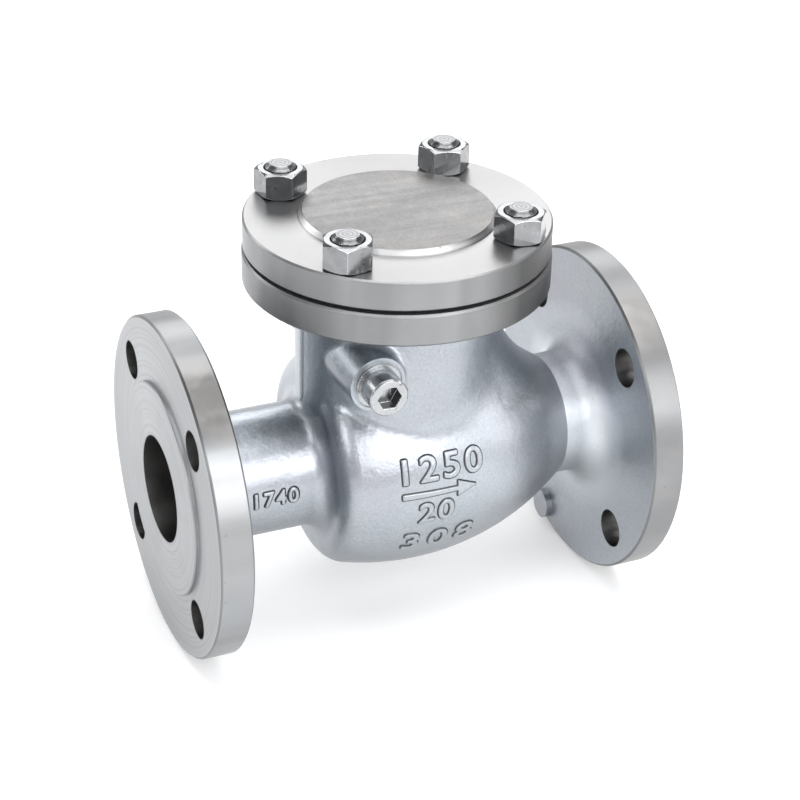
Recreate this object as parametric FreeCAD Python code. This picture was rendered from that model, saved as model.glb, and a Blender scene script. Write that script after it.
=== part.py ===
import FreeCAD, Part
import math
import os

# A flanged swing check valve of nominal bore 50. Lengths are in millimetres and angles in degrees.
# The X axis is the flow axis and points downstream, and Z points up through the cover.
# The origin is the centre of the inlet flange's raised face.

# Pipe flanges
face_to_face = 230.0
flange_bolt_circle = 125.0
flange_bolt_edge = 17.5
flange_bolt_count = 4
inlet_bolt_hole = 18.0
outlet_bolt_hole = 18.4
flange_thickness = 15.5
flange_edge_chamfer = 1.0
raised_face_margin = 3.5
raised_face_height = 2.0
gate_stub_diameter = 15.0
gate_stub_height = 3.2
gate_stub_angle = -71.8
gate_stub_margin = 0.5

# Flow passage and the tubes behind the flanges
bore_diameter = 50.0
tube_wall = 4.5
inlet_flange_root = 6.0
outlet_flange_root = 11.0
waist_length = 19.0

# Chamber, a barrel of revolution about the flow axis
chamber_diameter = 110.4
chamber_wall = 6.0
shoulder_reach = 43.2
shoulder_wall = 7.2
shoulder_radius = 10.8
shoulder_root = 8.0

# Neck and the body's cover flange
neck_step = 9.2
neck_wall = 6.0
neck_height = 48.3
neck_bore_overlap = 0.7
body_flange_thickness = 15.0
body_flange_root = 4.0
blend_inlet_side = 6.0
blend_outlet_side = 60.0
parting_ridge_width = 2.0
parting_ridge_height = 0.8

# Cover and gasket
gasket_width = 8.5
gasket_thickness = 1.6
gasket_margin = 1.0
cover_inset = 0.5
cover_thickness = 13.9
cover_edge_chamfer = 0.8
pad_nut_gap = 0.4
pad_height = 2.6
pad_bevel = 2.2
register_depth = 3.0
register_clearance = 0.5

# Studs and nuts
stud_diameter = 14.0
stud_depth = 12.5
stud_protrusion = 2.2
stud_point = 2.0
stud_count = 4
stud_edge = 12.5
stud_hole_clearance = 1.0
thread_clearance = 0.05
thread_end_chamfer = 1.0
nut_width = 21.0
nut_height = 12.2
nut_countersink = 0.7
nut_end_share = 0.96
nut_turns = (45.0, 36.0, 8.0, 52.0)

# Hinge: pin, bosses, plug and washer
hinge_drop = 40.5
hinge_wall_gap = 3.0
pin_diameter = 10.0
pin_clearance = 0.05
pin_end_play = 0.3
boss_front_reach = 3.5
boss_rim = 1.7
boss_root = 4.0
boss_root_share = 0.6
boss_end_wall = 8.0
boss_recess_gap = 1.0
boss_recess_depth = 0.5
lug_wall = 4.0
plug_pin_step = 1.0
plug_length = 13.0
plug_head_step = 3.0
plug_head_height = 12.0
plug_head_chamfer = 0.8
plug_socket_width = 10.0
plug_socket_depth = 6.0
plug_washer_rim = 1.3
plug_washer_thickness = 1.5

# Seat ring
seat_ring_wall = 6.0
seat_ring_depth = 6.0
seat_proud = 2.5
seat_land_width = 3.0
seat_gap = 0.1

# Disc with its stem
disc_overlap = 5.0
disc_thickness = 6.5
disc_edge_chamfer = 2.0
disc_boss_diameter = 22.0
disc_boss_height = 1.5
stem_diameter = 12.0
stem_clearance = 0.08
stem_point = 1.0

# Swing arm
arm_thickness = 8.0
arm_play = 0.2
arm_width = 16.0
arm_opening = 50.0
eye_wall = 7.0
leg_front_drop = 24.0
leg_back_drop = 20.0
leg_hub_inset = 0.8
hub_wall = 3.0
hub_length = 26.0
hub_side_play = 0.3
stop_lug_thickness = 6.0
stop_lug_width = 14.0
stop_lug_gap = 0.4

# Nut, washer and split pin behind the arm
disc_washer_rim = 5.0
disc_washer_thickness = 1.5
disc_nut_width = 18.0
disc_nut_height = 6.5
split_pin_diameter = 2.5
split_pin_margin = 0.3
split_pin_eye_radius = 2.0
split_pin_eye_wire = 1.3
split_pin_bend_radius = 2.5
split_pin_spread = 40.0
split_pin_leg_length = 3.0
stem_end_margin = 1.2

# How far a cut runs past the face that it opens, and how near counts as touching
cut_past = 1.0
touching = 0.02

# Flanges and passage, worked out from the driving dimensions
cover_x = face_to_face / 2
flange_diameter = flange_bolt_circle + 2 * flange_bolt_edge
raised_face_diameter = flange_bolt_circle - inlet_bolt_hole - 2 * raised_face_margin
flange_depth = flange_thickness + raised_face_height
outlet_flange_back = face_to_face - flange_depth
waist_x = outlet_flange_back - waist_length
shoulder_x = cover_x - shoulder_reach
chamber_x = shoulder_x + shoulder_wall
bore_radius = bore_diameter / 2
tube_radius = bore_radius + tube_wall
chamber_radius = chamber_diameter / 2

# Neck, cover and studs
neck_radius = chamber_radius - neck_step
neck_bore_radius = neck_radius - neck_wall
cover_joint_height = chamber_radius + neck_height
cover_bottom = cover_joint_height + gasket_thickness
cover_top = cover_bottom + cover_thickness
gasket_radius = neck_bore_radius + gasket_width
stud_bolt_circle = 2 * (gasket_radius + gasket_margin + stud_hole_clearance) + stud_diameter
body_flange_radius = stud_bolt_circle / 2 + stud_edge
cover_radius = body_flange_radius - cover_inset
pad_radius = stud_bolt_circle / 2 - nut_width / math.sqrt(3) - pad_nut_gap

# Hinge
hub_radius = pin_diameter / 2 + hub_wall
hinge_x = cover_x - neck_bore_radius + hub_radius + hinge_wall_gap
hinge_height = cover_joint_height - hinge_drop
lug_radius = pin_diameter / 2 + lug_wall
lug_start = hub_length / 2 + hub_side_play
plug_radius = pin_diameter / 2 + plug_pin_step
plug_head_radius = plug_radius + plug_head_step
plug_washer_radius = plug_head_radius + plug_washer_rim
boss_recess_radius = plug_washer_radius + boss_recess_gap
boss_radius = boss_recess_radius + boss_rim
boss_front = neck_radius + boss_front_reach
boss_back = neck_radius
boss_headroom = hinge_drop - body_flange_thickness - body_flange_root - boss_radius
boss_blend = min(boss_root, boss_root_share * boss_headroom)
plug_seat_y = boss_recess_depth - boss_front
pin_front_y = plug_seat_y + plug_length - plug_washer_thickness + pin_end_play
pin_back_y = boss_back - boss_end_wall

# Places along the flow axis, from the seat to the end of the disc's stem
seat_face_x = chamber_x + seat_proud
disc_front_x = seat_face_x + seat_gap
disc_back_x = disc_front_x + disc_thickness
arm_front_x = disc_back_x + disc_boss_height + arm_play
arm_back_x = arm_front_x + arm_thickness
washer_back_x = arm_back_x + disc_washer_thickness
nut_back_x = washer_back_x + disc_nut_height
split_pin_x = nut_back_x + split_pin_diameter / 2 + split_pin_margin
stem_end_x = split_pin_x + split_pin_diameter / 2 + stem_end_margin
stem_radius = stem_diameter / 2
eye_radius = stem_radius + eye_wall

X_AXIS = FreeCAD.Vector(1, 0, 0)
Y_AXIS = FreeCAD.Vector(0, 1, 0)
Z_AXIS = FreeCAD.Vector(0, 0, 1)
ORIGIN = FreeCAD.Vector(0, 0, 0)


def point(x, z):
    """A point in the valve's upright middle plane."""
    return FreeCAD.Vector(x, 0, z)


def line(start, end):
    return Part.LineSegment(point(*start), point(*end)).toShape()


def arc(centre, radius, start_angle, end_angle):
    """An arc in the middle plane, with its angles measured from X towards Z."""
    spots = []
    for angle in (start_angle, (start_angle + end_angle) / 2, end_angle):
        turn = math.radians(angle)
        spots.append(point(centre[0] + radius * math.cos(turn), centre[1] + radius * math.sin(turn)))
    return Part.Arc(*spots).toShape()


def outline(points):
    """A closed outline of straight lines through points (x, z)."""
    corners = [point(*spot) for spot in points]
    return Part.Face(Part.makePolygon(corners + corners[:1]))


def turned_x(points):
    """A solid turned about the flow axis from a closed outline of points (x, radius)."""
    return outline(points).revolve(ORIGIN, X_AXIS, 360)


def turned_z(points, x, y):
    """A solid turned about an upright axis at x, y from a closed outline of points (radius, z)."""
    solid = outline(points).revolve(ORIGIN, Z_AXIS, 360)
    return solid.translated(FreeCAD.Vector(x, y, 0))


def rod_x(radius, start, end):
    """A cylinder on the flow axis."""
    return Part.makeCylinder(radius, end - start, FreeCAD.Vector(start, 0, 0), X_AXIS)


def rod_y(radius, start, end):
    """A cylinder on the hinge axis."""
    return Part.makeCylinder(radius, end - start, FreeCAD.Vector(hinge_x, start, hinge_height), Y_AXIS)


def rod_z(radius, start, end, x, y):
    """An upright cylinder."""
    return Part.makeCylinder(radius, end - start, FreeCAD.Vector(x, y, start), Z_AXIS)


def around(count, circle, turn=45.0):
    """The places of a bolt pattern, the first at the given turn."""
    for number in range(count):
        angle = math.radians(turn + number * 360.0 / count)
        yield circle / 2 * math.cos(angle), circle / 2 * math.sin(angle)


def hexagon_bar(width, start, end, turn):
    """An upright hexagonal bar about the Z axis."""
    corner = width / 2 / math.cos(math.radians(30))
    corners = []
    for number in range(6):
        angle = math.radians(turn + 60 * number)
        corners.append(FreeCAD.Vector(corner * math.cos(angle), corner * math.sin(angle), start))
    return Part.Face(Part.makePolygon(corners + corners[:1])).extrude(Z_AXIS * (end - start))


def hexagon_nut(width, height, hole_radius, turn):
    """A nut on the Z axis from z = 0 up, with both ends chamfered at 30 degrees."""
    corner = width / 2 / math.cos(math.radians(30))
    end = width / 2 * nut_end_share
    drop = (corner - end) * math.tan(math.radians(30))
    rounding = turned_z([(0, 0), (end, 0), (corner, drop), (corner, height - drop), (end, height),
                         (0, height)], 0, 0)
    mouth = hole_radius + nut_countersink
    hole = turned_z([(0, 0), (mouth, 0), (hole_radius, nut_countersink),
                     (hole_radius, height - nut_countersink), (mouth, height), (0, height)], 0, 0)
    return hexagon_bar(width, 0, height, turn).common(rounding).cut(hole)


def barrel_arc(wall):
    """Centre height and radius of the arc that the chamber's barrel is turned from."""
    drop = chamber_radius - tube_radius
    reach = waist_x - cover_x
    radius = (drop ** 2 + reach ** 2) / (2 * drop)
    return chamber_radius - radius, radius - wall


def barrel(wall, corner, start_x, start_edges, end_x, end_edges, end_radius):
    """A chamber solid: given start edges, a rounded shoulder, the barrel's arc and given end edges."""
    centre_z, radius = barrel_arc(wall)
    corner_x = start_x + corner
    corner_z = centre_z + math.sqrt((radius - corner) ** 2 - (corner_x - cover_x) ** 2)
    lean = math.degrees(math.atan2(corner_z - centre_z, corner_x - cover_x))
    tail = math.degrees(math.atan2(end_radius - centre_z, end_x - cover_x))
    shoulder_start = start_edges[-1].Vertexes[-1].Point
    edges = start_edges + [
        line((start_x, shoulder_start.z), (start_x, corner_z)),
        arc((corner_x, corner_z), corner, 180, lean),
        arc((cover_x, centre_z), radius, lean, tail),
    ] + end_edges
    edges.append(line((edges[-1].Vertexes[-1].X, 0), (edges[0].Vertexes[0].X, 0)))
    wire = Part.Wire(Part.__sortEdges__(edges))
    return Part.Face(wire).revolve(ORIGIN, X_AXIS, 360)


def outer_barrel():
    """The tubes and the chamber from flange to flange, solid."""
    foot = flange_depth + inlet_flange_root
    foot_top = tube_radius + inlet_flange_root
    start = [
        line((raised_face_height, 0), (raised_face_height, foot_top)),
        line((raised_face_height, foot_top), (flange_depth, foot_top)),
        arc((foot, foot_top), inlet_flange_root, 180, 270),
        line((foot, tube_radius), (shoulder_x - shoulder_root, tube_radius)),
        arc((shoulder_x - shoulder_root, tube_radius + shoulder_root), shoulder_root, 270, 360),
    ]
    flare_x = outlet_flange_back - outlet_flange_root
    flare_top = tube_radius + outlet_flange_root
    end_face = face_to_face - raised_face_height
    end = [
        line((waist_x, tube_radius), (flare_x, tube_radius)),
        arc((flare_x, flare_top), outlet_flange_root, 270, 360),
        line((outlet_flange_back, flare_top), (end_face, flare_top)),
        line((end_face, flare_top), (end_face, 0)),
    ]
    return barrel(0, shoulder_radius, shoulder_x, start, waist_x, end, tube_radius)


def core_barrel():
    """The hollow inside the chamber, from its shoulder wall to the outlet bore."""
    centre_z, radius = barrel_arc(chamber_wall)
    bore_x = cover_x + math.sqrt(radius ** 2 - (bore_radius - centre_z) ** 2)
    start = [line((chamber_x, 0), (chamber_x, bore_radius))]
    end = [line((bore_x, bore_radius), (bore_x, 0))]
    corner = shoulder_radius - chamber_wall
    return barrel(chamber_wall, corner, chamber_x, start, bore_x, end, bore_radius)


def on_neck(edge, radius):
    """Whether an edge lies on the neck's cylinder of this radius."""
    span = edge.LastParameter - edge.FirstParameter
    for part in range(7):
        spot = edge.valueAt(edge.FirstParameter + span * part / 6)
        if abs(math.hypot(spot.x - cover_x, spot.y) - radius) > touching:
            return False
    return True


def on_boss(edge):
    """Whether an edge lies on the cylinder of the hinge bosses."""
    span = edge.LastParameter - edge.FirstParameter
    for part in range(7):
        spot = edge.valueAt(edge.FirstParameter + span * part / 6)
        if abs(math.hypot(spot.x - hinge_x, spot.z - hinge_height) - boss_radius) > touching:
            return False
    return True


def blended(solid, edge_radii):
    """The solid with its numbered edges rounded, each from one radius to another along its length."""
    document = FreeCAD.newDocument()
    base = document.addObject("Part::Feature", "base")
    base.Shape = solid
    blend = document.addObject("Part::Fillet", "blend")
    blend.Base = base
    blend.Edges = edge_radii
    document.recompute()
    result = blend.Shape.copy()
    FreeCAD.closeDocument(document.Name)
    return result


def neck_blend(solid, radius, tight, wide):
    """Rounds the seam of neck and chamber, tight at the inlet side and wide at the outlet side."""
    edge_radii = []
    for number, edge in enumerate(solid.Edges, 1):
        box = edge.BoundBox
        level = box.ZLength < touching
        own_seam = box.XMin > cover_x
        if not on_neck(edge, radius) or level or own_seam:
            continue
        if box.XMax > cover_x:
            starts_outlet = edge.valueAt(edge.FirstParameter).x > cover_x
            edge_radii.append((number, wide, tight) if starts_outlet else (number, tight, wide))
        else:
            edge_radii.append((number, tight, tight))
    return blended(solid, edge_radii)


def pipe_flange(face_x, inward, bolt_hole):
    """A pipe flange with its raised face at face_x; inward is 1 at the inlet and -1 at the outlet."""
    rim, raised, chamfer = flange_diameter / 2, raised_face_diameter / 2, flange_edge_chamfer
    step = face_x + inward * raised_face_height
    back = face_x + inward * flange_depth
    flange = turned_x([
        (face_x, 0), (face_x, raised - chamfer / 2),
        (face_x + inward * chamfer / 2, raised), (step, raised),
        (step, rim - chamfer), (step + inward * chamfer, rim), (back - inward * chamfer, rim),
        (back, rim - chamfer), (back, 0),
    ])
    for y, z in around(flange_bolt_count, flange_bolt_circle):
        hole = Part.makeCylinder(bolt_hole / 2, flange_depth + 2 * cut_past,
                                 FreeCAD.Vector(face_x - inward * cut_past, y, z), X_AXIS * inward)
        flange = flange.cut(hole)
    return flange


def body_flange():
    """The round flange on the neck that the cover sits on."""
    bottom = cover_joint_height - body_flange_thickness
    rim, chamfer = body_flange_radius, flange_edge_chamfer
    return turned_z([(0, bottom), (rim - chamfer, bottom), (rim, bottom + chamfer),
                     (rim, cover_joint_height - chamfer), (rim - chamfer, cover_joint_height),
                     (0, cover_joint_height)], cover_x, 0)


def neck_root_edges(solid):
    """The ring where the neck meets the underside of the body's cover flange."""
    bottom = cover_joint_height - body_flange_thickness
    return [edge for edge in solid.Edges
            if on_neck(edge, neck_radius) and edge.BoundBox.ZLength < touching
            and abs(edge.BoundBox.ZMin - bottom) < touching]


def boss_root_edges(solid):
    """The seams where the two hinge bosses leave the neck."""
    found = []
    for edge in solid.Edges:
        box = edge.BoundBox
        end_rim = box.YLength < touching
        side_line = box.XLength < touching and box.ZLength < touching
        if on_boss(edge) and not end_rim and not side_line:
            found.append(edge)
    return found


def gate_stub():
    """The stub that the casting's gate leaves on the outlet flange's back, near its rim."""
    place = flange_diameter / 2 - gate_stub_margin - gate_stub_diameter / 2
    angle = math.radians(gate_stub_angle)
    start = FreeCAD.Vector(outlet_flange_back - gate_stub_height, place * math.cos(angle),
                           place * math.sin(angle))
    return Part.makeCylinder(gate_stub_diameter / 2, gate_stub_height + flange_edge_chamfer, start, X_AXIS)


def outer_body():
    """The casting's outside, solid."""
    neck = rod_z(neck_radius, tube_radius / 2, cover_joint_height, cover_x, 0)
    body = outer_barrel().fuse([neck, body_flange()]).removeSplitter()
    body = neck_blend(body, neck_radius, blend_inlet_side, blend_outlet_side)
    body = body.makeFillet(body_flange_root, neck_root_edges(body))
    bosses = [rod_y(boss_radius, -boss_front, -lug_start), rod_y(boss_radius, lug_start, boss_back)]
    body = body.fuse(bosses).removeSplitter()
    body = body.makeFillet(boss_blend, boss_root_edges(body))
    ridge_length = cover_joint_height - body_flange_thickness - tube_radius
    ridge_foot = FreeCAD.Vector(cover_x - neck_radius - parting_ridge_height, -parting_ridge_width / 2,
                                tube_radius)
    ridge = Part.makeBox(neck_wall, parting_ridge_width, ridge_length, ridge_foot)
    inlet_flange = pipe_flange(0, 1, inlet_bolt_hole)
    outlet_flange = pipe_flange(face_to_face, -1, outlet_bolt_hole)
    return body.fuse([ridge, inlet_flange, outlet_flange, gate_stub()])


def body_core():
    """Everything hollow inside the casting, with the hinge lugs left standing."""
    side_height = math.sqrt((chamber_radius - chamber_wall) ** 2 - neck_bore_radius ** 2)
    neck_core = rod_z(neck_bore_radius, side_height - neck_bore_overlap, cover_joint_height + cut_past,
                      cover_x, 0)
    core = core_barrel().fuse(neck_core).removeSplitter()
    core = neck_blend(core, neck_bore_radius, blend_inlet_side / 2, blend_outlet_side)
    core = core.cut([rod_y(lug_radius, -neck_radius, -lug_start), rod_y(lug_radius, lug_start, neck_radius)])
    passage = rod_x(bore_radius, -cut_past, chamber_x + cut_past)
    outlet = rod_x(bore_radius, cover_x, face_to_face + cut_past)
    seat_pocket = rod_x(bore_radius + seat_ring_wall, chamber_x - seat_ring_depth, chamber_x + cut_past)
    return core.fuse([passage, outlet, seat_pocket])


def valve_body():
    """The stainless casting with its machined faces, bores and tapped holes."""
    body = outer_body().cut(body_core())
    tapped = [rod_z(stud_diameter / 2 + thread_clearance, cover_joint_height - stud_depth,
                    cover_joint_height + cut_past, cover_x + dx, dy)
              for dx, dy in around(stud_count, stud_bolt_circle)]
    pin_hole = rod_y(pin_diameter / 2 + pin_clearance, -boss_front, pin_back_y)
    plug_hole = rod_y(plug_radius + thread_clearance, -boss_front, pin_front_y)
    recess = rod_y(boss_recess_radius, -boss_front - cut_past, plug_seat_y)
    return body.cut(tapped + [pin_hole, plug_hole, recess]).removeSplitter()


def seat_ring():
    """The ring pressed into the shoulder wall, with a raised land for the disc."""
    outer = bore_radius + seat_ring_wall
    start = chamber_x - seat_ring_depth
    land_x = seat_face_x - seat_proud / 2
    land = bore_radius + seat_land_width
    return turned_x([(start, bore_radius), (start, outer), (land_x, outer),
                     (land_x, land + seat_proud / 2), (seat_face_x, land), (seat_face_x, bore_radius)])


def cover():
    """The turned cover with its raised pad, its register and four stud holes."""
    rim, chamfer = cover_radius, cover_edge_chamfer
    pad_top = cover_top + pad_height
    register = neck_bore_radius - register_clearance
    low = cover_joint_height - register_depth
    disc = turned_z([(0, low), (register, low), (register, cover_bottom), (rim - chamfer, cover_bottom),
                     (rim, cover_bottom + chamfer), (rim, cover_top - chamfer),
                     (rim - chamfer, cover_top), (pad_radius, cover_top),
                     (pad_radius - pad_bevel, pad_top), (0, pad_top)], cover_x, 0)
    hole_radius = stud_diameter / 2 + stud_hole_clearance
    holes = [rod_z(hole_radius, cover_bottom - cut_past, cover_top + cut_past, cover_x + dx, dy)
             for dx, dy in around(stud_count, stud_bolt_circle)]
    return disc.cut(holes)


def cover_gasket():
    """The flat ring between cover and body, inside the studs."""
    ring = rod_z(gasket_radius, cover_joint_height, cover_bottom, cover_x, 0)
    return ring.cut(rod_z(neck_bore_radius, cover_joint_height, cover_bottom, cover_x, 0))


def stud(dx, dy):
    """A stud from its tapped hole to its chamfered point above the nut."""
    radius = stud_diameter / 2
    bottom = cover_joint_height - stud_depth
    top = cover_top + nut_height + stud_protrusion
    return turned_z([(0, bottom), (radius - thread_end_chamfer, bottom),
                     (radius, bottom + thread_end_chamfer), (radius, top - stud_point),
                     (radius - stud_point, top), (0, top)], cover_x + dx, dy)


def stud_nut(dx, dy, turn):
    """A hexagon nut on the cover."""
    nut = hexagon_nut(nut_width, nut_height, stud_diameter / 2 + thread_clearance, turn)
    return nut.translated(FreeCAD.Vector(cover_x + dx, dy, cover_top))


def hinge_pin():
    """The plain pin that the arm swings on."""
    radius = pin_diameter / 2
    return rod_y(radius, pin_front_y + pin_end_play / 2, pin_back_y - pin_end_play / 2)


def to_hinge_axis(solid, y):
    """Turns a solid made about Z so that its Z axis points out of the front boss, with z = 0 at y."""
    turned = solid.copy()
    turned.rotate(ORIGIN, X_AXIS, 90)
    return turned.translated(FreeCAD.Vector(hinge_x, y, hinge_height))


def hinge_plug():
    """The socket head screw that closes the pin's hole."""
    screw = turned_z([(0, -plug_length), (plug_radius - thread_end_chamfer, -plug_length),
                      (plug_radius, thread_end_chamfer - plug_length), (plug_radius, 0),
                      (plug_head_radius, 0), (plug_head_radius, plug_head_height - plug_head_chamfer),
                      (plug_head_radius - plug_head_chamfer, plug_head_height), (0, plug_head_height)], 0, 0)
    socket = hexagon_bar(plug_socket_width, plug_head_height - plug_socket_depth,
                         plug_head_height + cut_past, 0)
    return to_hinge_axis(screw.cut(socket), plug_seat_y - plug_washer_thickness)


def plug_washer():
    """The sealing ring under the plug's head."""
    ring = rod_z(plug_washer_radius, 0, plug_washer_thickness, 0, 0)
    ring = ring.cut(rod_z(plug_radius + thread_clearance, 0, plug_washer_thickness, 0, 0))
    return to_hinge_axis(ring, plug_seat_y)


def disc():
    """The flap with its stem, with a hole for the split pin."""
    rim, chamfer = bore_radius + disc_overlap, disc_edge_chamfer
    boss, boss_x = disc_boss_diameter / 2, disc_back_x + disc_boss_height
    flap = turned_x([(disc_front_x, 0), (disc_front_x, rim), (disc_back_x - chamfer, rim),
                     (disc_back_x, rim - chamfer), (disc_back_x, boss), (boss_x, boss),
                     (boss_x, stem_radius), (stem_end_x - stem_point, stem_radius),
                     (stem_end_x, stem_radius - stem_point), (stem_end_x, 0)])
    return flap.cut(rod_z(split_pin_diameter / 2 + thread_clearance, -stem_diameter, stem_diameter,
                          split_pin_x, 0))


def stop_lug():
    """The lug on the hub that meets the neck's wall when the arm is fully open."""
    half_width = stop_lug_width / 2
    wall_x = cover_x - math.sqrt(neck_bore_radius ** 2 - half_width ** 2)
    room = hinge_x - wall_x - stop_lug_gap
    opening = math.radians(arm_opening)
    height = (room - stop_lug_thickness / 2 * math.cos(opening)) / math.sin(opening)
    return Part.makeBox(stop_lug_thickness, stop_lug_width, height,
                        FreeCAD.Vector(hinge_x - stop_lug_thickness / 2, -half_width, hinge_height))


def swing_arm():
    """The arm: a hub with its stop lug, a tapering leg and an eye round the disc's stem."""
    leg_side = outline([(arm_front_x, 0), (arm_front_x, hinge_height - leg_front_drop),
                        (hinge_x, hinge_height - hub_radius / 2),
                        (hinge_x + hub_radius - leg_hub_inset, hinge_height),
                        (arm_back_x, hinge_height - leg_back_drop), (arm_back_x, 0)])
    leg = leg_side.extrude(Y_AXIS * hub_length).translated(FreeCAD.Vector(0, -hub_length / 2, 0))
    half_foot, half_top = arm_width / 2, hub_length / 2
    corners = [FreeCAD.Vector(0, -half_foot, 0), FreeCAD.Vector(0, half_foot, 0),
               FreeCAD.Vector(0, half_top, hinge_height), FreeCAD.Vector(0, -half_top, hinge_height)]
    taper = Part.Face(Part.makePolygon(corners + corners[:1])).extrude(X_AXIS * face_to_face)
    hub = rod_y(hub_radius, -hub_length / 2, hub_length / 2)
    eye = rod_x(eye_radius, arm_front_x, arm_back_x)
    arm = leg.common(taper).fuse([eye, stop_lug(), hub]).removeSplitter()
    return arm.cut([rod_x(stem_radius + stem_clearance, arm_front_x, arm_back_x),
                    rod_y(pin_diameter / 2 + pin_clearance, -hub_length, hub_length)])


def disc_washer():
    """The washer behind the arm's eye."""
    ring = rod_x(stem_radius + disc_washer_rim, arm_back_x, washer_back_x)
    return ring.cut(rod_x(stem_radius + thread_clearance, arm_back_x, washer_back_x))


def disc_nut():
    """The nut that holds the disc's stem."""
    nut = hexagon_nut(disc_nut_width, disc_nut_height, stem_radius + thread_clearance, 0)
    nut.rotate(ORIGIN, Y_AXIS, 90)
    return nut.translated(FreeCAD.Vector(washer_back_x, 0, 0))


def split_pin_leg(side):
    """One half-round leg of the split pin, bent away below the stem; side is 1 or -1."""
    centre = FreeCAD.Vector(split_pin_x, 0, -stem_radius - split_pin_margin)
    first = 0 if side > 0 else 180
    rim = Part.makeCircle(split_pin_diameter / 2, centre, Z_AXIS, first, first + 180)
    section = Part.Face(Part.Wire([rim, Part.makeLine(rim.Vertexes[-1].Point, rim.Vertexes[0].Point)]))
    pivot = centre + Y_AXIS * side * split_pin_bend_radius
    bend = section.revolve(pivot, X_AXIS * side, split_pin_spread)
    section.rotate(pivot, X_AXIS * side, split_pin_spread)
    turn = math.radians(split_pin_spread)
    way = FreeCAD.Vector(0, side * math.sin(turn), -math.cos(turn))
    return bend.fuse(section.extrude(way * split_pin_leg_length))


def split_pin():
    """The pin through the stem behind the nut, with its eye and two bent legs."""
    top = stem_radius + split_pin_margin
    shank = rod_z(split_pin_diameter / 2, -top, top + split_pin_eye_wire / 2, split_pin_x, 0)
    eye = Part.makeTorus(split_pin_eye_radius, split_pin_eye_wire / 2,
                         FreeCAD.Vector(split_pin_x, 0, top + split_pin_eye_radius), X_AXIS)
    return shank.fuse([eye, split_pin_leg(1), split_pin_leg(-1)]).removeSplitter()


def export(name, solid):
    solid.exportStep("parts/" + name + ".step")
    print(name, len(solid.Solids), solid.isValid(), round(solid.Volume))


os.makedirs("parts", exist_ok=True)
export("valve_body", valve_body())
export("seat_ring", seat_ring())
export("cover", cover())
export("cover_gasket", cover_gasket())
for number, (dx, dy) in enumerate(around(stud_count, stud_bolt_circle)):
    export("stud_%d" % (number + 1), stud(dx, dy))
    export("stud_nut_%d" % (number + 1), stud_nut(dx, dy, nut_turns[number % len(nut_turns)]))
export("hinge_pin", hinge_pin())
export("hinge_plug", hinge_plug())
export("plug_washer", plug_washer())
export("swing_arm", swing_arm())
export("disc", disc())
export("disc_washer", disc_washer())
export("disc_nut", disc_nut())
export("split_pin", split_pin())
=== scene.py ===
import math

import bpy
from mathutils import Matrix, Vector
from mathutils.bvhtree import BVHTree


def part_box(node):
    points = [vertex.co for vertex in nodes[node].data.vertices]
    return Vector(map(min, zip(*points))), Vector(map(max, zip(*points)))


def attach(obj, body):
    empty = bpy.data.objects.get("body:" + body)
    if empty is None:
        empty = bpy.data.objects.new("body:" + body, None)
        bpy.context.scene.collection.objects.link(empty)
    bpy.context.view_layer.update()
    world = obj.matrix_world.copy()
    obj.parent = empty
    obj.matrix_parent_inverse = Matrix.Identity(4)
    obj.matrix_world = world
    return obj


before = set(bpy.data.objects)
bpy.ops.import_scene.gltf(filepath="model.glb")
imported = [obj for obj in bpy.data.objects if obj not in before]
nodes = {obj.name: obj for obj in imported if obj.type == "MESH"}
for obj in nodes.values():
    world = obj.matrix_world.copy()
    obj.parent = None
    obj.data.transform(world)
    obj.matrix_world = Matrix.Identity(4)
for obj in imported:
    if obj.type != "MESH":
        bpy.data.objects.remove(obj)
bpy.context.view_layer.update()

# Places read from the frame, in metres. The X axis is the flow axis and Z points up.
body_low, body_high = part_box("valve_body")
cover_low, cover_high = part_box("cover")
plug_low, plug_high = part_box("hinge_plug")
flange_radius = body_high.y
length = body_high.x
cover_x = (cover_low.x + cover_high.x) / 2
cover_radius = (cover_high.x - cover_low.x) / 2
hinge_x = (plug_low.x + plug_high.x) / 2
hinge_z = (plug_low.z + plug_high.z) / 2
joint_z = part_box("cover_gasket")[0].z
stud_offset = (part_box("stud_1")[1].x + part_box("stud_1")[0].x) / 2 - cover_x
nut_top_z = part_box("stud_nut_1")[1].z
cover_top_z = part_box("stud_nut_1")[0].z

MM = 0.001
SOFT_STEP = 0.15 * MM
ORIGIN = (0, 0, 0)
DOWNSTREAM, UPSTREAM = (1, 0, 0), (-1, 0, 0)
SIDEWAYS = (0, 1, 0)
UP, DOWN = (0, 0, 1), (0, 0, -1)

# The body's machined surfaces, each measured from its own end, rim or axis
FLANGE_DEPTH = 17.7 * MM
FLANGE_FACE_DEPTH = 2.3 * MM
FLANGE_RIM_SKIN = 1.1 * MM
FLANGE_CHAMFER = 0.25 * MM
NECK_FLANGE_DEPTH = 15.3 * MM
NECK_RIM_SKIN = 0.8 * MM
JOINT_FACE_DEPTH = 0.4 * MM
PLUG_END_TO_BOSS_FACE = 12.2 * MM
BOSS_FACE_RADIUS = 13.2 * MM
BOLT_CIRCLE_RADIUS = 62.5 * MM
BOLT_HOLE_RADIUS = 9.35 * MM
BORE_RADIUS = 25.3 * MM

# Where painted highlight on the waist and painted shade on the outlet flange's back and the chamber's end
# fade in, from none to full
WAIST_X = (length - 52 * MM, length - 42 * MM)
WAIST_RADIUS = (52 * MM, 38 * MM)
WAIST_TOP = (27 * MM, 15 * MM)
WAIST_HIGHLIGHT_PEAK_BOTTOM = (-16 * MM, 0.0)
BACK_SHADE_START_X = length - 24 * MM
BACK_SHADE_Z = (22 * MM, 45 * MM)
BACK_SHADE_RADIUS = (45 * MM, 55 * MM)
CHAMBER_END_TOP = (42 * MM, 28 * MM)
CHAMBER_END_START = (cover_x + 10 * MM, cover_x + 25 * MM)
CHAMBER_END_STOP = (length - 34 * MM, length - 42 * MM)
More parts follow.
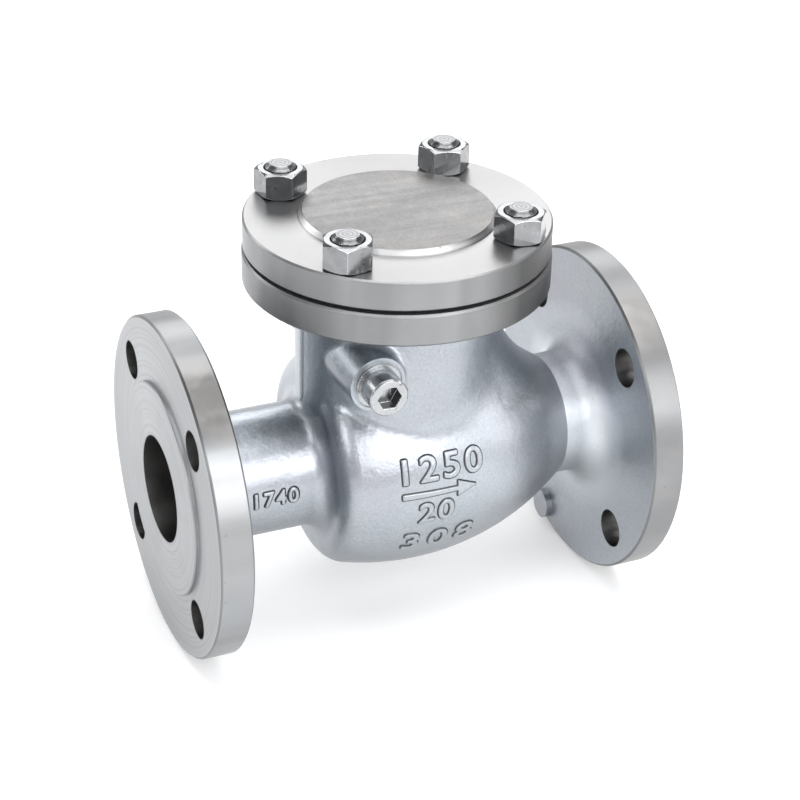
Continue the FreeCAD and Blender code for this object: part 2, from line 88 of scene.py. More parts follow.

# A painted dark reflection band high on the pipe flanges' rims, and painted shade on the right side of the
# cover's and neck flange's rims
RIM_BAND_BOTTOM = (flange_radius * 0.64, flange_radius * 0.77)
RIM_BAND_TOP = (flange_radius * 0.965, flange_radius * 0.91)
RIGHT_SIDE = (0.915, -0.404, 0)
RIGHT_RIM_SHADE = (RIGHT_SIDE, 0.54, 0.78)

# Stretches of noise, and colours that aren't grey
ALONG_X = (0.1, 1, 1)
ALONG_Z = (1, 1, 0.1)
LILAC = (0.34, 0.315, 0.36, 1.0)
BROWN = (0.32, 0.29, 0.25, 1.0)

# Lathe marks: noise lines in each metre, and the waves of chatter and of a stud's end in radians a metre
LATHE_LINES = 5200
FACE_RINGS = 520
CHATTER_WAVES = 3700.0
CHATTER_RADIUS = 42 * MM
STUD_WAVES = 3500.0

# The cover's milled pad and turned rim
PAD_RADIUS = 42.8 * MM
PAD_SKIN = 0.35 * MM
PAD_FOOT = 0.4 * MM
COVER_RIM_SKIN = 0.2 * MM

# Painted shade on nuts, studs and plug, whose socket and joint are measured from the front of its head
COUNTERSINK_RADIUS = 7.75 * MM
NUT_JOINT = 0.35 * MM
STUD_GAP = 0.2 * MM
SOCKET_RADIUS = 5.95 * MM
SOCKET_START, SOCKET_END = 0.9 * MM, 5.7 * MM
PLUG_JOINT = 11.4 * MM
PLUG_HEAD_RADIUS = 8.4 * MM

# Depth of the materials' relief, and radius of their rounded edges
CAST_RELIEF, CAST_EDGE = 0.28 * MM, 0.35 * MM
COVER_RELIEF, COVER_EDGE = 0.12 * MM, 0.3 * MM
FASTENER_RELIEF, FASTENER_EDGE = 0.05 * MM, 0.45 * MM
INNER_RELIEF, INNER_EDGE = 0.05 * MM, 0.3 * MM
FIBRE_RELIEF = 0.1 * MM

# The camera: the photograph's viewing angle, found from the valve's known sizes
VIEW_TARGET = Vector((length / 2, 0, 0))
VIEW_AZIMUTH = -23.81
VIEW_ELEVATION = 30.6
VIEW_ROLL = 1.467
VIEW_DISTANCE = 1.0
VIEW_FOCAL_PIXELS = 2104.0
VIEW_CENTRE_PIXEL = (391.8, 443.0)
IMAGE_PIXELS = 800
SENSOR_MM = 36.0

# Floor and studio light. The room's light is bright at floor level and darker overhead.
FLOOR_SIZE = 12.0
FLOOR_GLOW = 0.3
ROOM_LOW = (0.9, 0.9, 0.92, 1)
ROOM_HIGH = (0.35, 0.35, 0.37, 1)
ROOM_HIGH_START = 0.95
ROOM_STRENGTH = 0.72
LIGHT_AIM = Vector((length / 2, 0, 20 * MM))
SOFTBOXES = (
    # name, place in metres, width and height in metres, watts
    ("top_softbox", (0.3, -0.02, 1.6), (1.7, 2.05), 34),
    ("front_softbox", (0.35, -1.5, 0.85), (1.3, 1.2), 18),
    ("right_softbox", (1.75, -0.85, 0.4), (1.0, 0.8), 7),
    ("left_softbox", (-1.5, -0.7, 0.9), (0.6, 0.9), 8),
    ("back_left_softbox", (-1.1, 1.5, 0.75), (0.9, 0.7), 5),
    ("back_softbox", (0.9, 1.7, 1.15), (1.5, 0.9), 12),
)


class Shading:
    """A material's node tree, built by short calls that return sockets."""

    EDGE_COSINES = (0.995, 0.86)

    def __init__(self, name):
        self.material = bpy.data.materials.new(name)
        self.material.use_nodes = True
        self.tree = self.material.node_tree
        self.shader = self.tree.nodes["Principled BSDF"]
        self.place = self.tree.nodes.new("ShaderNodeTexCoord").outputs["Object"]
        self.normal = self.tree.nodes.new("ShaderNodeNewGeometry").outputs["Normal"]

    def feed(self, socket, value):
        if isinstance(value, bpy.types.NodeSocket):
            self.tree.links.new(value, socket)
        else:
            socket.default_value = value

    def set(self, **values):
        for name, value in values.items():
            self.feed(self.shader.inputs[name.replace("_", " ")], value)

    def triple(self, value):
        """A vector with the same number three times."""
        node = self.tree.nodes.new("ShaderNodeCombineXYZ")
        for socket in node.inputs:
            self.feed(socket, value)
        return node.outputs[0]

    def math(self, operation, first, second=0.0):
        node = self.tree.nodes.new("ShaderNodeMath")
        node.operation = operation
        self.feed(node.inputs[0], first)
        self.feed(node.inputs[1], second)
        return node.outputs[0]

    def vector(self, operation, first, second=(0, 0, 0)):
        node = self.tree.nodes.new("ShaderNodeVectorMath")
        node.operation = operation
        self.feed(node.inputs[0], first)
        self.feed(node.inputs[1], second)
        return node.outputs["Value" if operation in ("LENGTH", "DOT_PRODUCT") else "Vector"]

    def split(self, vector):
        """The outputs X, Y and Z of a vector."""
        node = self.tree.nodes.new("ShaderNodeSeparateXYZ")
        self.feed(node.inputs[0], vector)
        return node.outputs

    def ramp(self, value, low, high, to_low=0.0, to_high=1.0):
        """The value carried from low..high to to_low..to_high, and held there beyond."""
        node = self.tree.nodes.new("ShaderNodeMapRange")
        for socket, number in zip(node.inputs, (value, low, high, to_low, to_high)):
            self.feed(socket, number)
        return node.outputs["Result"]

    def noise(self, scale, detail=2.0, stretch=(1, 1, 1), roughness=0.5):
        """Noise from 0 to 1 with features of about 1 / scale metres, stretched along the axes."""
        mapping = self.tree.nodes.new("ShaderNodeMapping")
        self.feed(mapping.inputs["Vector"], self.place)
        mapping.inputs["Scale"].default_value = stretch
        node = self.tree.nodes.new("ShaderNodeTexNoise")
        self.feed(node.inputs["Vector"], mapping.outputs["Vector"])
        node.inputs["Scale"].default_value = scale
        node.inputs["Detail"].default_value = detail
        node.inputs["Roughness"].default_value = roughness
        return node.outputs["Fac"]

    def line_noise(self, coordinate, scale, detail=3.0):
        """Noise that changes along one measured coordinate alone, such as the lines of a lathe."""
        node = self.tree.nodes.new("ShaderNodeTexNoise")
        node.noise_dimensions = "1D"
        self.feed(node.inputs["W"], coordinate)
        node.inputs["Scale"].default_value = scale
        node.inputs["Detail"].default_value = detail
        return node.outputs["Fac"]

    def waves(self, coordinate, frequency):
        """A sine from -1 to 1 along one measured coordinate."""
        return self.math("SINE", self.math("MULTIPLY", coordinate, frequency))

    def mix(self, factor, first, second):
        """A blend of two numbers or two colours."""
        node = self.tree.nodes.new("ShaderNodeMix")
        colours = not isinstance(first, float) and (isinstance(first, tuple) or first.type == "RGBA")
        node.data_type = "RGBA" if colours else "FLOAT"
        kind = "Color" if colours else "Float"
        inputs = {socket.identifier: socket for socket in node.inputs}
        outputs = {socket.identifier: socket for socket in node.outputs}
        self.feed(inputs["Factor_Float"], factor)
        self.feed(inputs["A_" + kind], first)
        self.feed(inputs["B_" + kind], second)
        return outputs["Result_" + kind]

    def coats(self, colour, *coats):
        """The colour under coats of (mask, strength, colour), the last one on top."""
        for mask, strength, other in coats:
            colour = self.mix(self.math("MULTIPLY", mask, strength), colour, other)
        return colour

    def rounded(self, radius):
        """The normal with edges rounded to the radius in metres."""
        node = self.tree.nodes.new("ShaderNodeBevel")
        node.samples = 4
        node.inputs["Radius"].default_value = radius
        return node.outputs["Normal"]

    def edges(self, rounded_normal):
        """1 along the edges and 0 on open faces."""
        alike = self.vector("DOT_PRODUCT", rounded_normal, self.normal)
        return self.ramp(alike, *self.EDGE_COSINES)

    def bump(self, height, depth, normal=None):
        """A normal from heights of 0 to 1, with the depth in metres."""
        node = self.tree.nodes.new("ShaderNodeBump")
        node.inputs["Strength"].default_value = 1.0
        node.inputs["Distance"].default_value = depth
        self.feed(node.inputs["Height"], height)
        if normal is not None:
            self.feed(node.inputs["Normal"], normal)
        return node.outputs["Normal"]

    def axis_measures(self, centre, axis):
        """The distance from an axis line, and the direction along its turning lines."""
        arm = self.vector("SUBTRACT", self.place, centre)
        along = self.vector("MULTIPLY", arm, tuple(abs(part) for part in axis))
        radial = self.vector("SUBTRACT", arm, along)
        return self.vector("LENGTH", radial), self.vector("CROSS_PRODUCT", axis, arm)

    def from_pattern(self, centre, keep, offset):
        """The distance from the nearest of four axes placed at the offset both ways about a centre."""
        arm = self.vector("MULTIPLY", self.vector("SUBTRACT", self.place, centre), keep)
        corner = tuple(part * offset for part in keep)
        return self.vector("LENGTH", self.vector("SUBTRACT", self.vector("ABSOLUTE", arm), corner))

    def above(self, value, edge):
        """1 where the value is over the edge, with a narrow soft step."""
        return self.ramp(value, edge - SOFT_STEP, edge + SOFT_STEP)

    def below(self, value, edge):
        return self.ramp(value, edge + SOFT_STEP, edge - SOFT_STEP)

    def all_of(self, *masks):
        total = masks[0]
        for mask in masks[1:]:
            total = self.math("MULTIPLY", total, mask)
        return total

    def any_of(self, *masks):
        total = masks[0]
        for mask in masks[1:]:
            total = self.math("MAXIMUM", total, mask)
        return total

    def facing(self, direction, low, high):
        """1 where the surface faces the direction with a cosine of high or more, and 0 from low down."""
        return self.ramp(self.vector("DOT_PRODUCT", self.normal, direction), low, high)

    def attribute(self, name):
        node = self.tree.nodes.new("ShaderNodeAttribute")
        node.attribute_name = name
        return node.outputs["Fac"]

    def across(self, grooves):
        """The direction across turning grooves, in the surface."""
        return self.vector("NORMALIZE", self.vector("CROSS_PRODUCT", grooves, self.normal))


def grey(value, warmth=0.0):
    """A neutral grey, moved towards yellow by a positive warmth and towards blue by a negative one."""
    return (value * (1 + warmth), value, value * (1 - warmth), 1.0)


def lathe_lines(s, radius, along):
    """Fine turning lines, both on faces across an axis and on rims about it."""
    return s.line_noise(s.math("ADD", radius, along), LATHE_LINES)


def rim_bands(s, stretch):
    """Duller bands across a turned rim, stretched along its axis."""
    return s.ramp(s.noise(45, 2, stretch=stretch), 0.42, 0.6)


class BodySurface:
    """Places on the body, and masks of what was machined there."""

    def __init__(self, s):
        self.x, self.y, self.z = s.split(s.place)
        self.flow_radius, self.flow_turn = s.axis_measures(ORIGIN, DOWNSTREAM)
        self.neck_radius, self.neck_turn = s.axis_measures((cover_x, 0, 0), UP)
        boss_radius, _ = s.axis_measures((hinge_x, 0, hinge_z), SIDEWAYS)
        bolt_offset = BOLT_CIRCLE_RADIUS * math.sin(math.radians(45))
        bolt_radius = s.from_pattern(ORIGIN, (0, 1, 1), bolt_offset)

        ends = s.any_of(s.below(self.x, FLANGE_DEPTH), s.above(self.x, length - FLANGE_DEPTH))
        self.rims = s.all_of(ends, s.above(self.flow_radius, flange_radius - FLANGE_RIM_SKIN))
        self.rim_edges = s.all_of(self.rims, s.below(self.flow_radius, flange_radius - FLANGE_CHAMFER))
        self.faces = s.any_of(s.below(self.x, FLANGE_FACE_DEPTH),
                              s.above(self.x, length - FLANGE_FACE_DEPTH))
        self.neck_rim = s.all_of(s.above(self.z, joint_z - NECK_FLANGE_DEPTH),
                                 s.above(self.neck_radius, cover_radius - NECK_RIM_SKIN))
        self.neck_end = s.any_of(self.neck_rim, s.above(self.z, joint_z - JOINT_FACE_DEPTH))
        boss_face = s.all_of(s.below(self.y, plug_high.y - PLUG_END_TO_BOSS_FACE),
                             s.below(boss_radius, BOSS_FACE_RADIUS))
        self.turned = s.any_of(self.rims, self.faces, self.neck_end, boss_face)
        self.holes = s.any_of(s.all_of(ends, s.below(bolt_radius, BOLT_HOLE_RADIUS)),
                              s.below(self.flow_radius, BORE_RADIUS))


def cast_finish(s, at, pits, peel):
    """Blasted casting: its colour, roughness and relief."""
    clouds = s.noise(38, 4)
    grain = s.noise(900, 3, roughness=0.65)
    lilac_patches = s.ramp(s.noise(16, 3), 0.5, 0.68)
    waist = s.all_of(s.ramp(at.x, *WAIST_X), s.ramp(at.flow_radius, *WAIST_RADIUS),
                     s.facing(UPSTREAM, -0.75, -0.35))
    # Painted highlight on the waist before the outlet flange, stronger just above the flow axis
    painted_waist_highlight = s.all_of(waist, s.ramp(at.z, *WAIST_TOP))
    painted_waist_highlight_peak = s.all_of(painted_waist_highlight, s.ramp(at.z, *WAIST_HIGHLIGHT_PEAK_BOTTOM))
    # Painted shade high on the outlet flange's back
    painted_back_shade = s.all_of(s.above(at.x, BACK_SHADE_START_X), s.ramp(at.z, *BACK_SHADE_Z),
                     s.ramp(at.flow_radius, *BACK_SHADE_RADIUS))
    # Painted shade on the side of the chamber's end that faces the outlet
    painted_chamber_end_shade = s.all_of(s.facing(DOWNSTREAM, 0.3, 0.8), s.ramp(at.z, *CHAMBER_END_TOP),
                           s.ramp(at.x, *CHAMBER_END_START), s.ramp(at.x, *CHAMBER_END_STOP))
    colour = s.coats(
        s.mix(clouds, grey(0.35, -0.085), grey(0.48, -0.075)),
        (s.ramp(grain, 0.35, 0.7), 1.0, grey(0.53, -0.06)),
        (lilac_patches, 0.35, LILAC),
        # Painted highlight on the waist, stronger again just above the flow axis
        (painted_waist_highlight, 0.6, grey(0.74, -0.05)),
        (painted_waist_highlight_peak, 0.35, grey(0.95, -0.03)),
        # Painted shade on the outlet flange's back
        (painted_back_shade, 0.35, grey(0.14, -0.05)),
        # Painted shade on the chamber's end
        (painted_chamber_end_shade, 0.6, grey(0.17, -0.03)),
        (pits, 0.5, grey(0.15)),
    )
    unevenness = s.math("ADD", s.math("MULTIPLY", clouds, 0.5), grain)
    rough = s.mix(waist, s.ramp(unevenness, 0.4, 1.1, 0.29, 0.43), 0.52)
    fine = s.math("ADD", s.math("MULTIPLY", grain, 0.25), s.math("MULTIPLY", peel, 0.55))
    height = s.math("ADD", fine, s.math("MULTIPLY", s.noise(120, 2), 0.8))
    return colour, rough, height


def turned_finish(s, at, pits):
    """Turned faces and rims: their colour, roughness and relief."""
    flow_lines = lathe_lines(s, at.flow_radius, at.x)
    neck_lines = lathe_lines(s, at.neck_radius, at.z)
    lines = s.mix(at.neck_end, flow_lines, neck_lines)
    rings = s.ramp(s.line_noise(at.flow_radius, FACE_RINGS, 2.0), 0.48, 0.66)
    outlet_rim = s.all_of(at.rims, s.above(at.x, length / 2))
    # A painted dark reflection band high on the pipe flanges' rims, darker still on the inlet's
    painted_rim_band = s.all_of(at.rims, s.ramp(at.z, *RIM_BAND_BOTTOM), s.ramp(at.z, *RIM_BAND_TOP))
    painted_inlet_rim_band = s.all_of(painted_rim_band, s.below(at.x, length / 2))
    chatter = s.all_of(s.ramp(s.waves(at.flow_radius, CHATTER_WAVES), 0.75, 0.95), at.faces,
                       s.ramp(s.noise(60, 1), 0.5, 0.6), s.below(at.flow_radius, CHATTER_RADIUS))
    colour = s.coats(
        s.mix(lines, grey(0.35, -0.03), grey(0.46, -0.03)),
        (s.all_of(at.faces, rings), 0.4, grey(0.24, -0.02)),
        (outlet_rim, 1.0, s.mix(lines, grey(0.24, -0.02), grey(0.32, -0.02))),
        # Painted dark reflection band on the rims
        (painted_rim_band, 0.75, grey(0.17, 0.05)),
        (painted_inlet_rim_band, 0.75, grey(0.05, 0.08)),
        (at.neck_rim, 1.0, s.mix(lines, grey(0.25, -0.02), grey(0.35, -0.02))),
        (s.all_of(at.rims, rim_bands(s, ALONG_X)), 0.4, grey(0.24)),
        (s.all_of(at.neck_rim, rim_bands(s, ALONG_Z)), 0.4, grey(0.16)),
        (s.ramp(s.noise(45, 3), 0.45, 0.65), 0.3, grey(0.36, 0.03)),
        # Painted shade on the neck flange rim's right side
        (s.all_of(at.neck_rim, s.facing(*RIGHT_RIM_SHADE)), 0.9, grey(0.05)),
        (s.any_of(pits, chatter), 0.45, grey(0.15)),
        (at.rim_edges, 0.6, grey(0.16)),
    )
    rough = s.ramp(lines, 0.3, 0.7, 0.34, 0.44)
    return colour, rough, s.math("MULTIPLY", lines, 0.12)


def body_material(name, raised_mark=False):
    """Blasted casting, with turned flange faces and rims, and drilled and bored holes."""
    s = Shading(name)
    at = BodySurface(s)
    pits = s.ramp(s.noise(420, 1), 0.22, 0.18)
    peel = s.noise(300, 3)
    cast_colour, cast_rough, cast_height = cast_finish(s, at, pits, peel)
    turned_colour, turned_rough, turned_height = turned_finish(s, at, pits)
    colour = s.coats(
        s.mix(at.turned, cast_colour, turned_colour),
        # Painted shade: darker where the surface faces down towards the floor
        (s.facing(DOWN, -0.35, 0.9), 0.45, grey(0.10, -0.05)),
        # The bore and bolt holes painted dark: painted shade inside them, on a duller bored finish
        (at.holes, 1.0, grey(0.13, 0.02)),
    )
    if raised_mark:
        # Painted shade on the raised marks' side walls, which outlines each mark
        painted_wall_shade = s.ramp(s.attribute(MARK_RISE), 0.92, 0.6)
        colour = s.coats(colour, (painted_wall_shade, 0.9, grey(0.04)))
    height = s.mix(at.turned, cast_height, turned_height)
    height = s.mix(at.holes, height, s.math("MULTIPLY", peel, 0.3))
    flow_part = s.vector("MULTIPLY", at.flow_turn, s.triple(s.math("SUBTRACT", 1.0, at.neck_end)))
    neck_part = s.vector("MULTIPLY", at.neck_turn, s.triple(at.neck_end))
    turn = s.vector("ADD", flow_part, neck_part)
    s.set(Base_Color=colour, Metallic=1.0, Roughness=s.mix(at.turned, cast_rough, turned_rough),
          Anisotropic=0.4, Tangent=s.across(turn), Normal=s.bump(height, CAST_RELIEF, s.rounded(CAST_EDGE)))
    return s.material


def cover_material():
    """A turned cover: bright ring, duller rim, and a darker milled pad whose edge has a painted highlight.
    """
    s = Shading("turned_stainless_cover")
    z = s.split(s.place)["Z"]
    radius, turn = s.axis_measures((cover_x, 0, 0), UP)
    pad = s.all_of(s.below(radius, PAD_RADIUS), s.above(z, cover_high.z - PAD_SKIN))
    # Painted highlight on the pad's raised edge
    painted_pad_edge_glint = s.all_of(s.above(radius, PAD_RADIUS), s.above(z, cover_top_z + PAD_FOOT))
    rim = s.above(radius, cover_radius - COVER_RIM_SKIN)
    lines = lathe_lines(s, radius, z)
    brushed = s.noise(300, 3, stretch=(0.06, 1, 1))
    clouds = s.noise(28, 4)
    mottle = s.ramp(s.noise(170, 4), 0.4, 0.7)
    grain = s.ramp(s.noise(650, 3), 0.4, 0.65)
    stains = s.ramp(s.noise(55, 3), 0.52, 0.68)
    specks = s.ramp(s.noise(520, 1), 0.24, 0.2)
    ring_colour = s.coats(
        s.mix(lines, grey(0.28), grey(0.385)),
        (s.ramp(clouds, 0.4, 0.7), 0.3, grey(0.28, 0.01)),
        (rim, 1.0, s.mix(lines, grey(0.23, -0.02), grey(0.34, -0.02))),
        (s.all_of(rim, rim_bands(s, ALONG_Z)), 0.4, grey(0.16)),
        # Painted shade on the cover rim's right side
        (s.all_of(rim, s.facing(*RIGHT_RIM_SHADE)), 0.87, grey(0.05)),
        (painted_pad_edge_glint, 0.6, grey(0.72)),
    )
    pad_colour = s.coats(
        s.mix(clouds, grey(0.18, 0.004), grey(0.235, 0.01)),
        (stains, 0.25, BROWN),
        (mottle, 0.35, grey(0.31)),
        (grain, 0.35, grey(0.14)),
        (brushed, 0.15, grey(0.33)),
    )
    colour = s.coats(s.mix(pad, ring_colour, pad_colour), (specks, 0.6, grey(0.12)))
    rough = s.mix(pad, s.ramp(lines, 0.3, 0.7, 0.30, 0.40), s.ramp(brushed, 0.3, 0.7, 0.38, 0.52))
    height = s.mix(pad, s.math("MULTIPLY", lines, 0.15), s.math("MULTIPLY", brushed, 0.3))
    s.set(Base_Color=colour, Metallic=1.0, Roughness=rough, Anisotropic=0.3, Tangent=s.across(turn),
          Normal=s.bump(height, COVER_RELIEF, s.rounded(COVER_EDGE)))
    return s.material


def fastener_material(name, low, high, rough, painted_shade_and_rings):
    """Bright steel with rubbed edges, faint scratches and small dark marks, and painted shade where the
    given mask is; the studs' mask also holds their turning rings.
    """
    s = Shading(name)
    rounded = s.rounded(FASTENER_EDGE)
    clouds = s.noise(160, 3)
    scratches = s.ramp(s.noise(500, 2, stretch=(1, 0.15, 0.6)), 0.6, 0.72)
    marks = s.ramp(s.noise(330, 3), 0.37, 0.29)
    colour = s.coats(
        s.mix(clouds, grey(low, -0.025), grey(high, -0.025)),
        (scratches, 0.4, grey(high * 1.15, -0.025)),
        (marks, 0.7, grey(0.12)),
        (s.edges(rounded), 0.7, grey(0.85)),
        # Painted shade where the given mask is, with the studs' turning rings
        (painted_shade_and_rings(s), 0.9, grey(0.03)),
    )
    s.set(Base_Color=colour, Metallic=1.0, Roughness=s.ramp(clouds, 0.3, 0.7, rough, rough + 0.12),
          Normal=s.bump(s.math("ADD", clouds, scratches), FASTENER_RELIEF, rounded))
    return s.material


def stud_axes(s):
    """The distance from the nearest stud's axis."""
    return s.from_pattern((cover_x, 0, 0), (1, 1, 0), stud_offset)


def nut_shadows(s):
    """Painted shade in the countersink round the stud, and in the joint under the nut."""
    z = s.split(s.place)["Z"]
    return s.any_of(s.below(stud_axes(s), COUNTERSINK_RADIUS), s.below(z, cover_top_z + NUT_JOINT))


def stud_shade_and_rings(s):
    """Painted shade on all of the stud below the nut's top, and the turning rings on its end."""
    z = s.split(s.place)["Z"]
    rings = s.ramp(s.waves(stud_axes(s), STUD_WAVES), 0.1, 0.9, 0.0, 0.45)
    return s.any_of(s.below(z, nut_top_z + STUD_GAP), rings)


def plug_shadows(s):
    """Painted shade on the walls of the hexagon socket, and in the joint behind the head."""
    y = s.split(s.place)["Y"]
    radius, _ = s.axis_measures((hinge_x, 0, hinge_z), SIDEWAYS)
    socket = s.all_of(s.above(y, plug_low.y + SOCKET_START), s.below(y, plug_low.y + SOCKET_END))
    painted_wall_shade = s.all_of(s.below(radius, SOCKET_RADIUS), socket)
    joint = s.all_of(s.above(y, plug_low.y + PLUG_JOINT), s.below(radius, PLUG_HEAD_RADIUS))
    return s.any_of(painted_wall_shade, joint)


def inner_material():
    """Machined stainless of the parts inside."""
    s = Shading("machined_stainless_inner")
    clouds = s.noise(90, 3)
    lines = s.noise(1400, 2, stretch=ALONG_Z)
    rounded = s.rounded(INNER_EDGE)
    colour = s.coats(s.mix(clouds, grey(0.52), grey(0.64)), (s.edges(rounded), 0.6, grey(0.85)))
    s.set(Base_Color=colour, Metallic=1.0, Roughness=s.ramp(lines, 0.3, 0.7, 0.28, 0.42),
          Normal=s.bump(lines, INNER_RELIEF, rounded))
    return s.material


def gasket_material():
    """Compressed graphite sheet."""
    s = Shading("gasket_sheet")
    fibres = s.noise(900, 3, stretch=(1, 1, 0.3))
    s.set(Base_Color=s.mix(fibres, grey(0.012), grey(0.05)), Roughness=s.ramp(fibres, 0.3, 0.7, 0.6, 0.85),
          Normal=s.bump(fibres, FIBRE_RELIEF))
    return s.material


def dress(names, material):
    for name in names:
        slots = nodes[name].data.materials
        slots.clear()
        slots.append(material)


# The raised marks, cast with the body: height over its skin, depth under it, and widening at the skin
MARK_HEIGHT = 0.85 * MM
MARK_SINK = 0.4 * MM
MARK_FLARE = 0.85 * MM
MARK_VOXEL = 0.22 * MM
MARK_RISE = "rise"
DIGIT_HEIGHT_SHARE = 0.7
DIGIT_WEIGHT = 0.15 * MM
NUMBERS = (
    # name, number, height, spacing, widening, x, degrees above the front
    ("upper", "1250", 12.0 * MM, 1.20, 1.10, cover_x + 1 * MM, 16.8),
    ("middle", "20", 10.5 * MM, 1.15, 1.10, cover_x - 1 * MM, -6.2),
    ("lower", "308", 11.5 * MM, 1.35, 1.20, cover_x + 2 * MM, -25.0),
    ("tube", "1740", 7.0 * MM, 1.20, 1.00, 45 * MM, 3.0),
)
ARROW_LENGTH = 36 * MM
ARROW_SHAFT = 1.8 * MM
ARROW_TAIL_SHARE = 0.7
ARROW_HEAD_LENGTH = 9 * MM
ARROW_HEAD_WIDTH = 7.5 * MM
ARROW_X = cover_x + 0.5 * MM
ARROW_ANGLE = 4.8

body_surface = BVHTree.FromObject(nodes["valve_body"], bpy.context.evaluated_depsgraph_get())


def on_casting(x, angle):
    """The point and normal of the casting's outside at x, where the angle about the flow axis is
    measured up from the front."""
    out = Vector((0, -math.cos(angle), math.sin(angle)))
    point, normal, _, _ = body_surface.ray_cast(Vector((x, 0, 0)) + out * flange_radius, -out)
    return point, normal


def raise_on_casting(piece, x, angle):
    """Lays a flat piece (X right, Y up, Z thickness) on the casting, centred at x and the angle."""
    middle, _ = on_casting(x, angle)
    radius = math.hypot(middle.y, middle.z)
    rise = piece.data.attributes.new(MARK_RISE, "FLOAT", "POINT")
    outward = [vertex.normal.copy() for vertex in piece.data.vertices]
    for level, vertex, out in zip(rise.data, piece.data.vertices, outward):
        level.value = vertex.co.z / MARK_HEIGHT
        out.z = 0
        flat = vertex.co + out * MARK_FLARE * max(0.0, 1 - level.value)
        point, normal = on_casting(x + flat.x, angle + flat.y / radius)
        vertex.co = point + normal * flat.z


def melted(piece):
    """Rounds a flat piece's corners as casting does."""
    remesh = piece.modifiers.new("round", "REMESH")
    remesh.mode = "VOXEL"
    remesh.voxel_size = MARK_VOXEL
    remesh.use_smooth_shade = True
    soften = piece.modifiers.new("soften", "SMOOTH")
    soften.factor = 0.5
    soften.iterations = 3
    depsgraph = bpy.context.evaluated_depsgraph_get()
    mesh = bpy.data.meshes.new_from_object(piece.evaluated_get(depsgraph))
    piece.modifiers.clear()
    piece.data = mesh


def mark(name, piece, x, angle, material):
    """Finishes a flat piece as a raised mark of the casting, at x and degrees above the front."""
    piece.name = name
    bpy.context.collection.objects.link(piece)
    melted(piece)
    raise_on_casting(piece, x, math.radians(angle))
    piece.data.materials.clear()
    piece.data.materials.append(material)
    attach(piece, "valve")


def number_shape(text, height, spacing, widening):
    """A flat plain number, centred, with its thickness from the sink to the raised face."""
    curve = bpy.data.curves.new("number", "FONT")
    curve.body = text
    curve.align_x = "CENTER"
    curve.align_y = "CENTER"
    curve.size = height / DIGIT_HEIGHT_SHARE
    curve.space_character = spacing
    curve.offset = DIGIT_WEIGHT
    curve.extrude = (MARK_HEIGHT + MARK_SINK) / 2
    text_object = bpy.data.objects.new("number", curve)
    mesh = bpy.data.meshes.new_from_object(text_object)
    lift = Matrix.Translation((0, 0, (MARK_HEIGHT - MARK_SINK) / 2))
    mesh.transform(lift @ Matrix.Diagonal((widening, 1, 1, 1)))
    bpy.data.objects.remove(text_object)
    return bpy.data.objects.new("number", mesh)


def arrow_shape():
    """A flat arrow that points along X, centred, with a shaft that widens to its tail."""
    tail, tip = -ARROW_LENGTH / 2, ARROW_LENGTH / 2
    neck = tip - ARROW_HEAD_LENGTH
    half_tail, half_shaft = ARROW_SHAFT * ARROW_TAIL_SHARE, ARROW_SHAFT / 2
    half_head = ARROW_HEAD_WIDTH / 2
    outline = [(tail, -half_tail), (neck, -half_shaft), (neck, -half_head), (tip, 0),
               (neck, half_head), (neck, half_shaft), (tail, half_tail)]
    count = len(outline)
    points = [(x, y, z) for z in (-MARK_SINK, MARK_HEIGHT) for x, y in outline]
    faces = [tuple(reversed(range(count))), tuple(range(count, 2 * count))]
    faces += [(i, (i + 1) % count, (i + 1) % count + count, i + count) for i in range(count)]
    mesh = bpy.data.meshes.new("arrow")
    mesh.from_pydata(points, [], faces)
    return bpy.data.objects.new("arrow", mesh)


def raised_marks(material):
    """Plain filler numbers in three rows and on the inlet tube, and the flow arrow."""
    for name, text, height, spacing, widening, x, angle in NUMBERS:
        mark("cast_number_" + name, number_shape(text, height, spacing, widening), x, angle, material)
    mark("flow_arrow", arrow_shape(), ARROW_X, ARROW_ANGLE, material)


def floor():
    """A plain pale floor that the flanges' rims stand on."""
    bpy.ops.mesh.primitive_plane_add(size=FLOOR_SIZE, location=(length / 2, 0, body_low.z))
    plane = bpy.context.object
    plane.name = "floor"
    s = Shading("pale_floor")
    s.set(Base_Color=s.mix(s.noise(3, 2), grey(0.74), grey(0.78)), Roughness=0.75,
          Emission_Color=grey(1.0), Emission_Strength=FLOOR_GLOW)
    plane.data.materials.append(s.material)


def softbox(name, place, size, power):
    """A rectangular light turned towards the valve."""
    light = bpy.data.lights.new(name, "AREA")
    light.shape = "RECTANGLE"
    light.size, light.size_y = size
    light.energy = power
    box = bpy.data.objects.new(name, light)
    bpy.context.collection.objects.link(box)
    box.location = place
    box.rotation_euler = (LIGHT_AIM - Vector(place)).to_track_quat("-Z", "Y").to_euler()


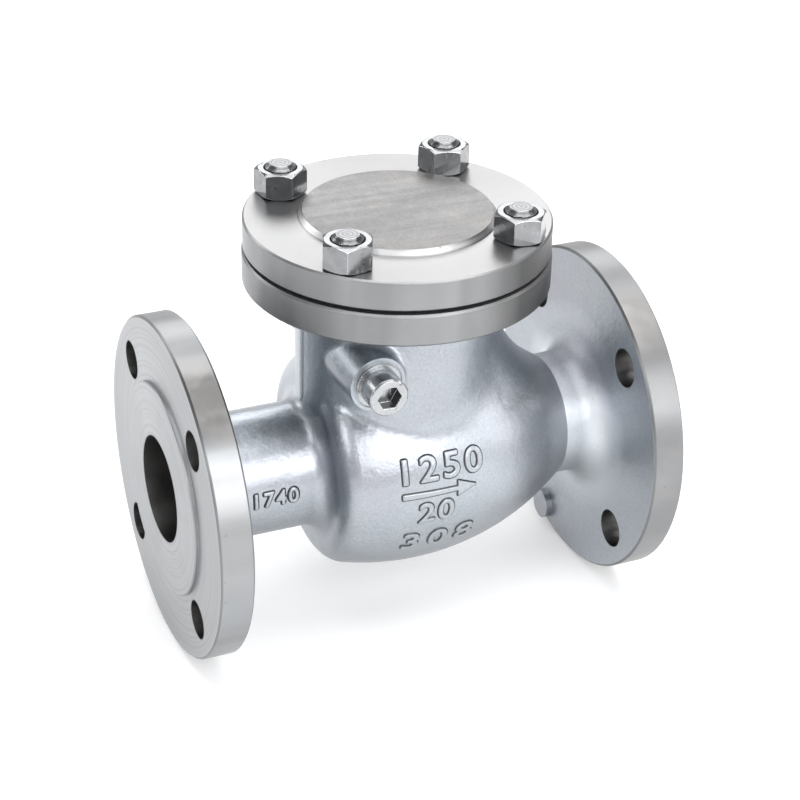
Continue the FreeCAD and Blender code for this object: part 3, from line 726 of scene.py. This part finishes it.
def lights():
    """Soft studio light: a room that darkens overhead, and softboxes all round."""
    world = bpy.data.worlds.new("studio")
    bpy.context.scene.world = world
    world.use_nodes = True
    tree = world.node_tree
    place = tree.nodes.new("ShaderNodeTexCoord")
    parts = tree.nodes.new("ShaderNodeSeparateXYZ")
    shade = tree.nodes.new("ShaderNodeValToRGB")
    background = tree.nodes["Background"]
    low, high = shade.color_ramp.elements
    low.position, low.color = 0.0, ROOM_LOW
    high.position, high.color = ROOM_HIGH_START, ROOM_HIGH
    tree.links.new(place.outputs["Generated"], parts.inputs[0])
    tree.links.new(parts.outputs["Z"], shade.inputs["Fac"])
    tree.links.new(shade.outputs["Color"], background.inputs["Color"])
    background.inputs["Strength"].default_value = ROOM_STRENGTH
    for name, location, size, power in SOFTBOXES:
        softbox(name, location, size, power)


def camera():
    """The photograph's view: turned, rolled, and shifted so that the aim falls on its pixel."""
    azimuth, elevation, roll = (math.radians(a) for a in (VIEW_AZIMUTH, VIEW_ELEVATION, VIEW_ROLL))
    back = Vector((math.sin(azimuth) * math.cos(elevation), -math.cos(azimuth) * math.cos(elevation),
                   math.sin(elevation)))
    right = Vector((math.cos(azimuth), math.sin(azimuth), 0))
    up = back.cross(right)
    right, up = (right * math.cos(roll) + up * math.sin(roll),
                 up * math.cos(roll) - right * math.sin(roll))
    data = bpy.data.cameras.new("camera")
    data.sensor_width = SENSOR_MM
    data.lens = VIEW_FOCAL_PIXELS / IMAGE_PIXELS * SENSOR_MM
    data.shift_x = (IMAGE_PIXELS / 2 - VIEW_CENTRE_PIXEL[0]) / IMAGE_PIXELS
    data.shift_y = (VIEW_CENTRE_PIXEL[1] - IMAGE_PIXELS / 2) / IMAGE_PIXELS
    view = bpy.data.objects.new("camera", data)
    bpy.context.collection.objects.link(view)
    turn = Matrix((right, up, back)).transposed().to_4x4()
    view.matrix_world = Matrix.Translation(VIEW_TARGET + back * VIEW_DISTANCE) @ turn
    bpy.context.scene.camera = view


camera()
lights()
floor()
dress(["valve_body"], body_material("cast_stainless_body"))
dress(["cover"], cover_material())
dress(["cover_gasket"], gasket_material())
nut_steel = fastener_material("bright_steel_nuts", 0.17, 0.34, 0.11, nut_shadows)
dress([name for name in nodes if name.startswith("stud_nut")], nut_steel)
stud_steel = fastener_material("bright_steel_studs", 0.12, 0.30, 0.18, stud_shade_and_rings)
dress(["stud_1", "stud_2", "stud_3", "stud_4"], stud_steel)
dress(["hinge_plug", "plug_washer"], fastener_material("plug_steel", 0.34, 0.50, 0.17, plug_shadows))
dress(["seat_ring", "hinge_pin", "swing_arm", "disc", "disc_washer", "disc_nut", "split_pin"],
      inner_material())
raised_marks(body_material("cast_stainless_marks", raised_mark=True))

bpy.context.scene.view_settings.view_transform = "Standard"
